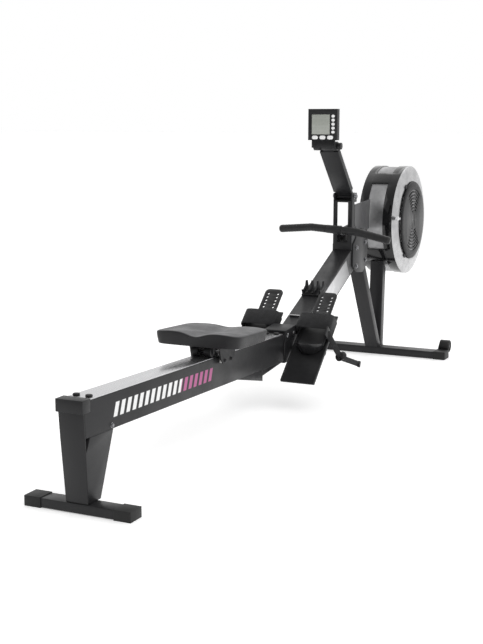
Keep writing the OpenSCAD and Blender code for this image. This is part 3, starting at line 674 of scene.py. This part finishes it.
class Form:
    """A mesh in the making, which becomes one object at the origin."""

    def __init__(self, name: str) -> None:
        """Begins an empty mesh.

        Args:
            name: the finished piece's name.
        """
        self.name = name
        self.bm = bmesh.new()

    def ring(self, matrix: Matrix, across: float, up: float, sides: int) -> Ring:
        """An open ellipse of edges, in the XY plane of a matrix.

        Args:
            matrix: where the ring lies.
            across: half its width.
            up: half its height.
            sides: how many sides it has.

        Returns:
            Its edges.
        """
        made = bmesh.ops.create_circle(self.bm, segments=sides, radius=1.0,
                                       matrix=matrix @ Matrix.Diagonal((across, up, 1.0, 1.0)))
        return list({e for v in made["verts"] for e in v.link_edges})

    def loft(self, rings: Sequence[Ring]) -> None:
        """Bridges each ring to the next, and closes the two ends.

        Args:
            rings: the rings of edges, in order.
        """
        for one, two in zip(rings, rings[1:]):
            bmesh.ops.bridge_loops(self.bm, edges=one + two)
        bmesh.ops.holes_fill(self.bm, edges=rings[0] + rings[-1], sides=0)

    def block(self, size: Sequence[float], matrix: Matrix, bevel: float) -> None:
        """Adds a box with rounded edges.

        Args:
            size: its whole width, depth and height.
            matrix: where its middle is and how it is turned.
            bevel: the radius of its edges.
        """
        made = bmesh.ops.create_cube(self.bm, size=1.0, matrix=matrix @ Matrix.Diagonal((*size, 1.0)))
        self.round_off({e for v in made["verts"] for e in v.link_edges}, bevel)

    def round_off(self, edges: Iterable[bmesh.types.BMEdge], width: float) -> None:
        """Rounds some edges."""
        bmesh.ops.bevel(self.bm, geom=list(edges), offset=width, offset_type="OFFSET", affect="EDGES", segments=2,
                        profile=0.5, clamp_overlap=True, material=-1)

    def bar(self, radius: float, start: Vector, end: Vector, sides: int = 24, bevel: float = 0.0) -> None:
        """A round bar between two points.

        Args:
            radius: its radius.
            start: the middle of one end.
            end: the middle of the other.
            sides: how many sides it has.
            bevel: how far its ends' edges are cut back, or zero for square ends.
        """
        along = end - start
        place = Matrix.Translation(start) @ along.to_track_quat("Z", "Y").to_matrix().to_4x4()
        steps = [(0.0, radius - bevel), (along.length, radius - bevel)]
        if bevel > 0:
            steps[1:1] = [(bevel, radius), (along.length - bevel, radius)]
        self.loft([self.ring(place @ Matrix.Translation((0, 0, h)), r, r, sides) for h, r in steps])

    def turned(self, profile: Sequence[tuple[float, float]], steps: int) -> None:
        """Spins a closed profile about the fan's axis.

        Args:
            profile: places along X and distances from the axis, in metres.
            steps: how many steps the spin takes.
        """
        verts = [self.bm.verts.new(FAN + Vector((x, r, 0.0))) for x, r in profile]
        edges = [self.bm.edges.new(pair) for pair in zip(verts, verts[1:] + verts[:1])]
        bmesh.ops.spin(self.bm, geom=verts + edges, cent=FAN, axis=(1.0, 0.0, 0.0), angle=math.tau, steps=steps,
                       use_merge=True, use_duplicate=False)

    def soften(self, width: float) -> None:
        """Rounds every edge that is sharper than SOFT_FROM."""
        self.round_off([e for e in self.bm.edges if len(e.link_faces) == 2
                        and e.calc_face_angle(0.0) > math.radians(SOFT_FROM)], width)

    def done(self, look: Look, body: Optional[str], stands_for: Sequence[str] = (), sharp: float = 38.0,
             recalc: bool = True) -> bpy.types.Object:
        """Turns the mesh into a finished piece.

        Args:
            look: its finish.
            body: the body it rides on, or None where it is blended later.
            stands_for: the CAD nodes that it replaces.
            sharp: edges sharper than this, in degrees, stay crisp.
            recalc: turns every face outwards.

        Returns:
            The new object.
        """
        bmesh.ops.remove_doubles(self.bm, verts=self.bm.verts, dist=1e-7)
        if recalc:
            bmesh.ops.recalc_face_normals(self.bm, faces=self.bm.faces)
        mesh = bpy.data.meshes.new(self.name)
        self.bm.to_mesh(mesh)
        self.bm.free()
        mesh.shade_smooth()
        mesh.set_sharp_from_angle(angle=math.radians(sharp))
        mesh.materials.append(look.material())
        piece = bpy.data.objects.new(self.name, mesh)
        bpy.context.scene.collection.objects.link(piece)
        if body:
            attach(piece, body)
        if stands_for:
            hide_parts(*stands_for)
        log.info("made %s, %d faces", self.name, len(mesh.polygons))
        return piece


class Assembly:
    """What every sub-assembly can do: stand rounded copies in for CAD nodes."""

    def rounded(self, look: Look, width: float, *nodes: str) -> None:
        """Stands a copy in for each CAD node, with its sharp edges rounded as the real part's are.

        Args:
            look: the copies' finish.
            width: the radius of the rounding, in metres.
            nodes: the CAD nodes.
        """
        for node in nodes:
            shown = frame["nodes"][node]
            form = Form(node + "_skin")
            form.bm.from_mesh(shown.data)
            bmesh.ops.remove_doubles(form.bm, verts=form.bm.verts, dist=WELD)
            bmesh.ops.dissolve_limit(form.bm, angle_limit=math.radians(FLAT_BELOW), verts=form.bm.verts,
                                     edges=form.bm.edges)
            form.soften(width)
            form.done(look, body_of(shown)[0], (node,))


@dataclass
class Stand(Assembly):
    """The two foot bars, their rubber caps, the transport wheels and the rear leg."""

    edge: float = 0.002
    cap_edge: float = 0.004
    wheel_edge: float = 0.003
    bead: float = 0.0022
    behind: float = 0.01
    ahead: float = 0.03

    def build(self) -> None:
        """Builds the feet and the leg."""
        self.rounded(Look.FRAME, self.edge, "rear_foot_tube", "front_foot_tube", "rear_leg")
        self.rounded(Look.RUBBER, self.cap_edge, "foot_caps")
        self.rounded(Look.RUBBER, self.wheel_edge, "transport_wheel_left", "transport_wheel_right")
        self.welds()

    def welds(self) -> None:
        """Lays weld beads where the struts meet the front foot bar."""
        low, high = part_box("front_post")
        z = low.z + self.bead / 2
        form = Form("foot_welds")
        for x in (low.x, high.x):
            form.bar(self.bead, Vector((x, low.y - self.behind, z)), Vector((x, low.y + self.ahead, z)), 10)
        form.done(Look.FRAME, "frame")


@dataclass
class Rail(Assembly):
    """The rail that the seat runs on, with its track, end cap, stops and front joint."""

    edge: float = 0.003
    pin: float = 0.005
    pins_at: tuple[float, float] = (0.018, 0.066)
    pin_drop: float = 0.022
    pin_sunk: float = 0.001
    pin_long: float = 0.0028
    pin_bevel: float = 0.0008

    def build(self) -> None:
        """Builds the rail and what is fixed to it."""
        self.rounded(Look.RAIL, self.edge, "rail")
        self.rounded(Look.TRACK, 0.0008, "rail_track")
        self.rounded(Look.MOULDED, 0.002, "rail_end_cap", "coupler_cover")
        self.rounded(Look.RUBBER, 0.002, "seat_stops")
        self.rounded(Look.FRAME, 0.0015, "rail_gusset", "rail_receiver")
        self.pins()

    def pins(self) -> None:
        """Adds the two bright pins in the side of the front joint's cover."""
        low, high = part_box("coupler_cover")
        form = Form("coupler_pins")
        for past in self.pins_at:
            at = Vector((high.x - self.pin_sunk, low.y + past, high.z - self.pin_drop))
            form.bar(self.pin, at, at + Vector((self.pin_long, 0, 0)), bevel=self.pin_bevel)
        form.done(Look.STEEL, "frame")


@dataclass
class Beam(Assembly):
    """The sloping beam, the upright, the struts and the neck that carries the strap to the fan."""

    edge: float = 0.003
    strip_y: float = 0.097
    strip_r: float = 0.003
    strip_inset: float = 0.006
    slope: float = 0.44
    top_at: tuple[float, float] = (0.276, 0.352)

    def build(self) -> None:
        """Builds the beam and what is fixed to it."""
        self.rounded(Look.FRAME, self.edge, "main_beam", "upright", "front_strut", "front_post")
        self.rounded(Look.FRAME, 0.0015, "gusset_plates", "foot_bracket")
        self.rounded(Look.PANEL, 0.0006, "beam_panels")
        self.rounded(Look.NECK, 0.0012, "drum_neck")
        self.rounded(Look.BOLT, 0.0006, "frame_bolts")
        self.rounded(Look.MOULDED, 0.0015, "strap_guide", "handle_cradle")
        self.rounded(Look.CLIP_GREY, 0.0012, "guide_roller")
        self.strip()

    def strip(self) -> None:
        """Lays the bright strip across the beam's foot."""
        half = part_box("main_beam")[1].x - self.strip_inset
        y, z = self.top_at
        z += self.slope * (self.strip_y - y) + self.strip_r
        form = Form("beam_strip")
        form.bar(self.strip_r, Vector((-half, self.strip_y, z)), Vector((half, self.strip_y, z)), 16, 0.001)
        form.done(Look.STEEL, "frame")


@dataclass
class Drum(Assembly):
    """The fan's housing: rims, sheet band, silver ring, slotted cap, damper lever and the left cover."""

    band_r: float = 0.2148
    band_from: float = -0.0238
    band_to: float = 0.0418
    bead: float = 0.0008
    sheet: float = 0.0012
    steps: int = 240
    ring_in: float = 0.1582
    ring_face: tuple[tuple[float, float], ...] = (
        (0.0, 0.02), (0.02, 0.0), (0.2, 0.06), (0.36, 0.19), (0.52, 0.34), (0.66, 0.47), (0.79, 0.62), (0.9, 0.78),
        (0.97, 0.92), (1.0, 1.0))
    clips_at: tuple[float, float] = (122.0, 238.0)
    clip_r: float = 0.163
    clip_size: Point = (0.006, 0.012, 0.020)
    clip_edge: float = 0.0015

    def build(self) -> None:
        """Builds the housing."""
        self.rounded(Look.GLOSS, 0.0015, "drum_frame")
        self.rounded(Look.TURNED, 0.0012, "right_cover_cap")
        self.rounded(Look.MOULDED, 0.0012, "left_cover")
        self.rounded(Look.LEVER, 0.0015, "damper_lever")
        self.rounded(Look.STEEL, 0.0005, "flywheel_axle")
        self.rounded(Look.STEEL, 0.0003, "recoil_spring")
        self.ring()
        self.band()
        self.clips()

    def ring(self) -> None:
        """Turns the dished silver ring."""
        low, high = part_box("right_cover_ring")
        inner, outer, deep = self.ring_in, (high.z - low.z) / 2, high.x - low.x
        form = Form("silver_ring")
        face = [(high.x - deep * drop, inner + (outer - inner) * reach) for reach, drop in self.ring_face]
        back = [(low.x, outer - 0.005), (low.x + 0.35 * deep, outer - 0.022), (low.x + 0.7 * deep, inner + 0.01),
                (low.x + 0.75 * deep, inner)]
        form.turned(face + back, self.steps)
        form.done(Look.SILVER, "frame", ("right_cover_ring",), CRISP)

    def band(self) -> None:
        """Rolls the thin band between the rims, with a folded bead along both its edges."""
        low, high = self.band_from, self.band_to
        r, t, b = self.band_r, self.sheet, self.bead
        form = Form("drum_sheet")
        rolled, clear = 0.0015, 0.003
        form.turned([(low, r + b), (low + rolled, r + b), (low + clear, r), (high - clear, r), (high - rolled, r + b),
                     (high, r + b), (high, r - t), (low, r - t)], self.steps)
        form.done(Look.BAND, "frame", ("drum_band",), CRISP)

    def clips(self) -> None:
        """Adds the small clips that hold the cap at its rear."""
        _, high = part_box("right_cover_ring")
        form = Form("cap_clips")
        for angle in self.clips_at:
            turn = Matrix.Translation(FAN) @ Matrix.Rotation(math.radians(angle), 4, "X")
            form.block(self.clip_size, turn @ Matrix.Translation((high.x + 0.001, self.clip_r, 0.0)), self.clip_edge)
        form.done(Look.MOULDED, "frame")


@dataclass
class Fan(Assembly):
    """The bladed wheel, its bearings and the strap's spool."""

    def build(self) -> None:
        """Builds the turning parts."""
        self.rounded(Look.MOULDED, 0.0006, "flywheel", "strap_spool")
        self.rounded(Look.STEEL, 0.0005, "flywheel_bearings")


@dataclass
class Handle(Assembly):
    """The pull handle: two rubber sleeves on a bent bar, and the strap that it pulls."""

    centre: Vector
    grip_r: float = 0.014
    start: float = 0.030
    bend: float = 0.090
    end: float = 0.217
    droop: float = math.radians(8.5)
    roll: float = math.radians(3.7)
    ease: float = 0.012
    nose: float = 0.009
    ribs: int = 60
    groove: float = 0.0005
    strap_width: float = 0.014
    strap_thick: float = 0.0024
    strap_from: float = 0.474
    guide_y: float = 0.546
    spool_x: float = -0.045

    def build(self) -> None:
        """Builds the handle and its strap."""
        self.rounded(Look.MOULDED, 0.002, "handle_yoke")
        self.sleeves()
        self.strap()

    def sleeves(self) -> None:
        """Lofts both sleeves along the bent bar, with rounded ends and shallow ribs."""
        frame_turn = Matrix.Translation(self.centre) @ Matrix.Rotation(self.roll, 4, "Y")
        form = Form("handle_sleeves")
        for side in (-1.0, 1.0):
            rings = []
            for distance, radius in self.stations():
                straight = min(distance, self.bend)
                past = distance - straight
                lean = self.droop * max(0.0, min(1.0, (distance - self.bend + self.ease) / (2 * self.ease)))
                x = straight + past * math.cos(self.droop)
                z = -past * math.sin(self.droop)
                place = Matrix.Translation((side * x, 0, z)) @ Matrix.Rotation(side * (lean + math.pi / 2), 4, "Y")
                rings.append(form.ring(frame_turn @ place, radius, radius, 40))
            form.loft(rings)
        form.done(Look.GRIP, "handle", ("handle_grip",), CRISP)

    def stations(self) -> list[tuple[float, float]]:
        """The places where a sleeve's radius is set.

        Returns:
            Distances along the sleeve, each with the sleeve's radius there.
        """
        lip = 0.0015
        places = [(self.start, self.grip_r - lip), (self.start + lip, self.grip_r)]
        first, last = self.start + 0.002, self.end - self.nose
        for i in range(1, self.ribs):
            share = i / self.ribs
            cut = self.groove if i % 4 == 0 and share > 0.12 else 0.0
            places.append((first + share * (last - first), self.grip_r - cut))
        for turn in map(math.radians, (0, 20, 40, 60, 75, 86)):
            places.append((last + self.nose * math.sin(turn), self.grip_r - self.nose * (1 - math.cos(turn))))
        return places

    def strap(self) -> None:
        """Runs the webbing from the handle over the guide roller to the spool."""
        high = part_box("drive_strap")[1]
        start, guide = (Vector((0, y, self.centre.z)) for y in (self.strap_from, self.guide_y))
        spool = Vector((self.spool_x, high.y - 0.001, high.z - 0.0013))
        path = [start.lerp(guide, i / 6) for i in range(7)] + [guide.lerp(spool, i / 12) for i in range(1, 13)]
        form = Ribbon("pull_strap", self.strap_width, self.strap_thick)
        form.run(path, Vector((1, 0, 0)))
        piece = form.done(Look.DRIVE, None, ("drive_strap",))
        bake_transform(piece, "frame", "handle", guide, start)


class Ribbon(Form):
    """A flat strap with a UV map in metres, which its weave follows."""

    def __init__(self, name: str, width: float, thick: float) -> None:
        """Begins a strap.

        Args:
            name: the piece's name.
            width: how wide it is.
            thick: how thick it is.
        """
        super().__init__(name)
        self.width = width
        self.thick = thick
        self.uv = self.bm.loops.layers.uv.new("strap")

    def section(self) -> list[tuple[float, float]]:
        """Its cross-section, with cut corners.

        Returns:
            The corners' places, across the strap and through it.
        """
        a, b = self.width / 2, self.thick / 2
        c = min(a, b) * 0.6
        return [(a, c - b), (a, b - c), (a - c, b), (c - a, b), (-a, b - c), (-a, c - b), (c - a, -b), (a - c, -b)]

    def run(self, path: Sequence[Vector], across: Vector) -> None:
        """Runs the strap along a path.

        Args:
            path: the points of its centreline.
            across: the direction of its width.
        """
        rings, places, so_far = [], {}, 0.0
        for i, point in enumerate(path):
            before, after = path[max(0, i - 1)], path[min(len(path) - 1, i + 1)]
            so_far += (point - before).length if i else 0.0
            along = (after - before).normalized()
            wide = (across - along * across.dot(along)).normalized()
            up = wide.cross(along)
            made = bmesh.ops.create_circle(self.bm, segments=8, radius=1.0)["verts"]
            for vert, (a, b) in zip(made, self.section()):
                vert.co = point + wide * a + up * b
                places[vert] = (so_far, a)
            rings.append(list({e for v in made for e in v.link_edges}))
        self.loft(rings)
        for face in self.bm.faces:
            for loop in face.loops:
                if loop.vert in places:
                    loop[self.uv].uv = places[loop.vert]


@dataclass
class Footrests(Assembly):
    """The two footboards, their sliding heel rests, and the straps that hold the toes."""

    half: float = 0.0608
    low: float = 0.196
    high: float = 0.258
    rise: float = 0.0355
    thick: float = 0.0028
    lean: float = math.radians(42.0)
    origin: Point = (0.1, -0.146, 0.104)
    under: float = -0.009
    foot: float = 0.006
    tail_width: float = 0.019
    tail_thick: float = 0.0022
    tail_top: Point = (0.160, -0.034, 0.252)
    tail_over: Point = (0.185, 0.0, 0.180)
    tail_under: Point = (0.196, 0.024, 0.157)
    tail_tip: Point = (0.222, 0.106, 0.125)
    fold_at: Point = (0.191, 0.014, 0.166)
    fold_reach: float = 0.012

    def build(self) -> None:
        """Builds both footrests."""
        self.rounded(Look.BOARD, 0.0014, "footplates")
        self.rounded(Look.CUP, 0.0012, "foot_slider_left", "foot_slider_right")
        self.straps()
        self.tail()

    def board(self, side: float) -> Matrix:
        """A footboard's own frame: X across, Y up the board, Z away from it."""
        x, y, z = self.origin
        return Matrix.Translation((side * x, y, z)) @ Matrix.Rotation(self.lean, 4, "X")

    def straps(self) -> None:
        """Runs a wide strap over each foot, down both sides of the board."""
        form = Ribbon("toe_straps", self.high - self.low, self.thick)
        up = (self.low + self.high) / 2
        ends = [(-self.half, self.under), (-self.half, 0.004)]
        points = ends + self.arch() + [(-x, n) for x, n in reversed(ends)]
        for side in (-1.0, 1.0):
            place = self.board(side)
            form.run([place @ Vector((x, up, n)) for x, n in points], place.to_3x3() @ Vector((0, 1, 0)))
        form.done(Look.STRAP, "frame", ("foot_straps",), 60.0)

    def arch(self) -> list[tuple[float, float]]:
        """The strap's arch over the foot.

        Returns:
            Its places, across the board and away from it.
        """
        steps = 48
        made = []
        for turn in (math.pi * i / steps for i in range(1, steps)):
            flat = math.copysign(abs(math.cos(turn)) ** 0.34, math.cos(turn))
            made.append((-self.half * flat, self.foot + (self.rise - self.foot) * math.sin(turn) ** 0.3))
        return made

    def tail(self) -> None:
        """Adds the right strap's loose end, with its buckle, a folded keeper and a tip."""
        corners = [Vector(p) for p in (self.tail_top, self.tail_over, self.tail_under, self.tail_tip)]
        path = corners[:1] + [a.lerp(b, i / 4) for a, b in zip(corners, corners[1:]) for i in range(1, 5)]
        self.length("strap_tail", path, Vector((0.55, 0.6, 0.5)))
        reach = self.fold_reach
        turns = (math.tau * i / 20 for i in range(19))
        loop = [Vector(self.fold_at) + Vector((reach * math.cos(a), reach / 2 * math.sin(a), reach * math.sin(a)))
                for a in turns]
        self.length("strap_fold", loop, Vector((0.3, 0.9, 0.1)))
        buckle = Form("strap_buckle")
        for at, tilt, size in ((path[0], -42.0, (0.005, 0.026, 0.034)), (path[-1], -22.0, (0.008, 0.012, 0.021))):
            buckle.block(size, Matrix.Translation(at) @ Matrix.Rotation(math.radians(tilt), 4, "X"), 0.0015)
        buckle.done(Look.MOULDED, "frame")

    def length(self, name: str, path: Sequence[Vector], across: Vector) -> None:
        """Makes a length of the narrow strap.

        Args:
            name: the piece's name.
            path: the points of its centreline.
            across: the direction of its width.
        """
        form = Ribbon(name, self.tail_width, self.tail_thick)
        form.run(path, across)
        form.done(Look.STRAP, "frame", (), 60.0)


@dataclass
class Seat(Assembly):
    """The seat: a contoured foam pad on a small carriage with two rollers."""

    half_w: float = 0.1355
    half_d: float = 0.1135
    low: float = 0.036
    top: float = 0.0775
    square: float = 9.0
    round_r: float = 0.0045
    rest: Point = (0.0, -0.55, 0.2622)
    fall: float = 0.007
    hollow: float = 0.006
    groove: float = 0.0125
    walls: tuple[tuple[float, float], ...] = (
        (0.5, 0.0), (0.955, 0.0), (0.965, 0.001), (0.972, 0.004), (0.99, 0.018), (1.0, 0.027))

    def build(self) -> None:
        """Builds the seat."""
        self.pad()
        self.rounded(Look.MOULDED, 0.0012, "seat_carriage")
        self.rounded(Look.NYLON, 0.0008, "seat_guides")
        self.rounded(Look.MOULDED, 0.0012, "seat_roller_front", "seat_roller_rear")

    def surface(self, x: float, y: float) -> float:
        """The pad's top before its edge is rounded.

        Args:
            x: how far right of the pad's middle.
            y: how far forward of it.

        Returns:
            The height there.
        """
        front = (y + self.half_d) / (2 * self.half_d)
        out = abs(x) / self.half_w
        level = self.top - self.fall * front
        level -= 0.005 * max(0.0, out - 0.55) ** 1.5 / 0.3 * (1.0 - 0.5 * front)
        for side in (-1.0, 1.0):
            away = ((x - side * 0.052) / 0.034) ** 2 + ((y + 0.002) / 0.050) ** 2
            level -= self.hollow * math.exp(-away)
        return level - self.groove * math.exp(-(x / 0.034) ** 2) * (1.0 - 0.55 * front)

    def ring(self, form: Form, share: float, height: Callable[[float, float], float]) -> Ring:
        """Adds one ring of the pad.

        Args:
            form: the mesh.
            share: 1 at the pad's edge and 0 at its middle.
            height: the height for a place, x, y.

        Returns:
            The ring's edges.
        """
        place = Matrix.Translation(self.rest) @ Matrix.Rotation(-RAIL_FALL, 4, "X")
        made = bmesh.ops.create_circle(form.bm, segments=144, radius=1.0)["verts"]
        for i, vert in enumerate(made):
            turn = math.tau * i / len(made)
            x, y = math.cos(turn), math.sin(turn)
            reach = share * (abs(x) ** self.square + abs(y) ** self.square) ** (-1 / self.square)
            spot = (x * reach * self.half_w, y * reach * self.half_d)
            vert.co = place @ Vector((*spot, height(*spot)))
        return list({e for v in made for e in v.link_edges})

    def pad(self) -> None:
        """Lofts the pad from its underside, round its edge and over its top."""
        form = Form("seat_cushion")
        rings = [self.ring(form, share, lambda x, y, z=self.low + up: z) for share, up in self.walls]
        for turn in map(math.radians, range(0, 91, 10)):
            share = 1.0 - (self.round_r / self.half_d) * (1 - math.cos(turn))
            drop = self.round_r * (1 - math.sin(turn))
            rings.append(self.ring(form, share, lambda x, y, d=drop: self.surface(x, y) - d))
        rings += [self.ring(form, 0.955 * (1 - i / 26), self.surface) for i in range(1, 26)]
        form.loft(rings)
        piece = form.done(Look.SEAT, "seat", ("seat_pad",), 60.0)


@dataclass
class Monitor(Assembly):
    """The monitor on its arm, with its display and keys."""

    keys: Sequence[str] = ("side_button_1", "side_button_2", "side_button_3", "side_button_4", "side_button_5",
                           "menu_button_1", "menu_button_2", "menu_button_3")

    def build(self) -> None:
        """Builds the monitor."""
        self.rounded(Look.FRAME, 0.0025, "monitor_arm")
        self.rounded(Look.MOULDED, 0.0015, "monitor_bracket")
        self.rounded(Look.SHELL, 0.004, "monitor_case")
        self.rounded(Look.LCD, 0.0003, "monitor_screen")
        self.rounded(Look.KEY, 0.0008, *self.keys)


@dataclass
class Studio:
    """The pale floor, the soft lights and the camera."""

    eye: Vector
    towards: Vector
    lens: float = 64.37
    sensor: float = 36.0
    glow: float = 1.0
    gloom: float = 0.4
    half_floor: float = 90.0
    middle_z: float = 0.4

    def build(self) -> None:
        """Sets the stage."""
        self.floor()
        self.world()
        self.light("key", (2.6, -2.2, 3.6), 3.2, 58.0)
        self.light("fill", (-3.2, -1.0, 2.6), 3.0, 24.0)
        self.light("back", (0.6, 3.6, 3.0), 3.0, 30.0)
        self.light("kicker", (3.5, 0.2, 0.7), 0.5, 8.0)
        self.camera()

    def floor(self) -> None:
        """Lays a wide flat floor."""
        form = Form("floor")
        bmesh.ops.create_grid(form.bm, x_segments=4, y_segments=4, size=self.half_floor)
        piece = form.done(Look.FLOOR, None, recalc=False)

    def world(self) -> None:
        """Makes a pale backdrop that fades to a dim room behind the camera."""
        world = bpy.data.worlds.new("studio")
        world.use_nodes = True
        tree = Tree(world.node_tree)
        back = next(n for n in world.node_tree.nodes if n.type == "BACKGROUND")
        fade = tree.ramp(tree.split(tree.add("TexCoord").outputs["Generated"])[1], -0.55, 0.25)
        tree.feed(back.inputs["Color"], tree.blend(fade, (self.gloom,) * 3, (1.0, 1.0, 1.0)))
        back.inputs["Strength"].default_value = self.glow
        bpy.context.scene.world = world
        bpy.context.scene.view_settings.view_transform = "Standard"

    def light(self, name: str, at: Sequence[float], size: float, power: float) -> None:
        """Hangs a square soft light that faces the machine.

        Args:
            name: the light's name.
            at: where it hangs.
            size: how wide it is.
            power: its power, in watts.
        """
        data = bpy.data.lights.new(name, "AREA")
        data.size = size
        data.energy = power
        lamp = bpy.data.objects.new(name, data)
        lamp.location = at
        lamp.rotation_euler = (Vector((0, 0, self.middle_z)) - Vector(at)).to_track_quat("-Z", "Y").to_euler()
        bpy.context.scene.collection.objects.link(lamp)

    def camera(self) -> None:
        """Places the camera."""
        data = bpy.data.cameras.new("camera")
        data.lens = self.lens
        data.sensor_width = self.sensor
        data.sensor_fit = "AUTO"
        seen = bpy.data.objects.new("camera", data)
        seen.location = self.eye
        seen.rotation_euler = self.towards.to_track_quat("-Z", "Y").to_euler()
        bpy.context.scene.collection.objects.link(seen)
        bpy.context.scene.camera = seen


EYE = Vector((1.4995, -3.4993, 0.9327))
TOWARDS = Vector((-0.4236, 0.8895, -0.1718))
HANDLE_AT = Vector((0, 0.437, 0.543))


def main() -> None:
    """Builds the set, then the machine piece by piece."""
    Studio(EYE, TOWARDS).build()
    assemblies = [Stand(), Rail(), Beam(), Drum(), Fan(), Handle(HANDLE_AT), Footrests(), Seat(), Monitor()]
    for assembly in assemblies:
        log.info("building %s", type(assembly).__name__)
        assembly.build()


if __name__ == "__main__":
    main()
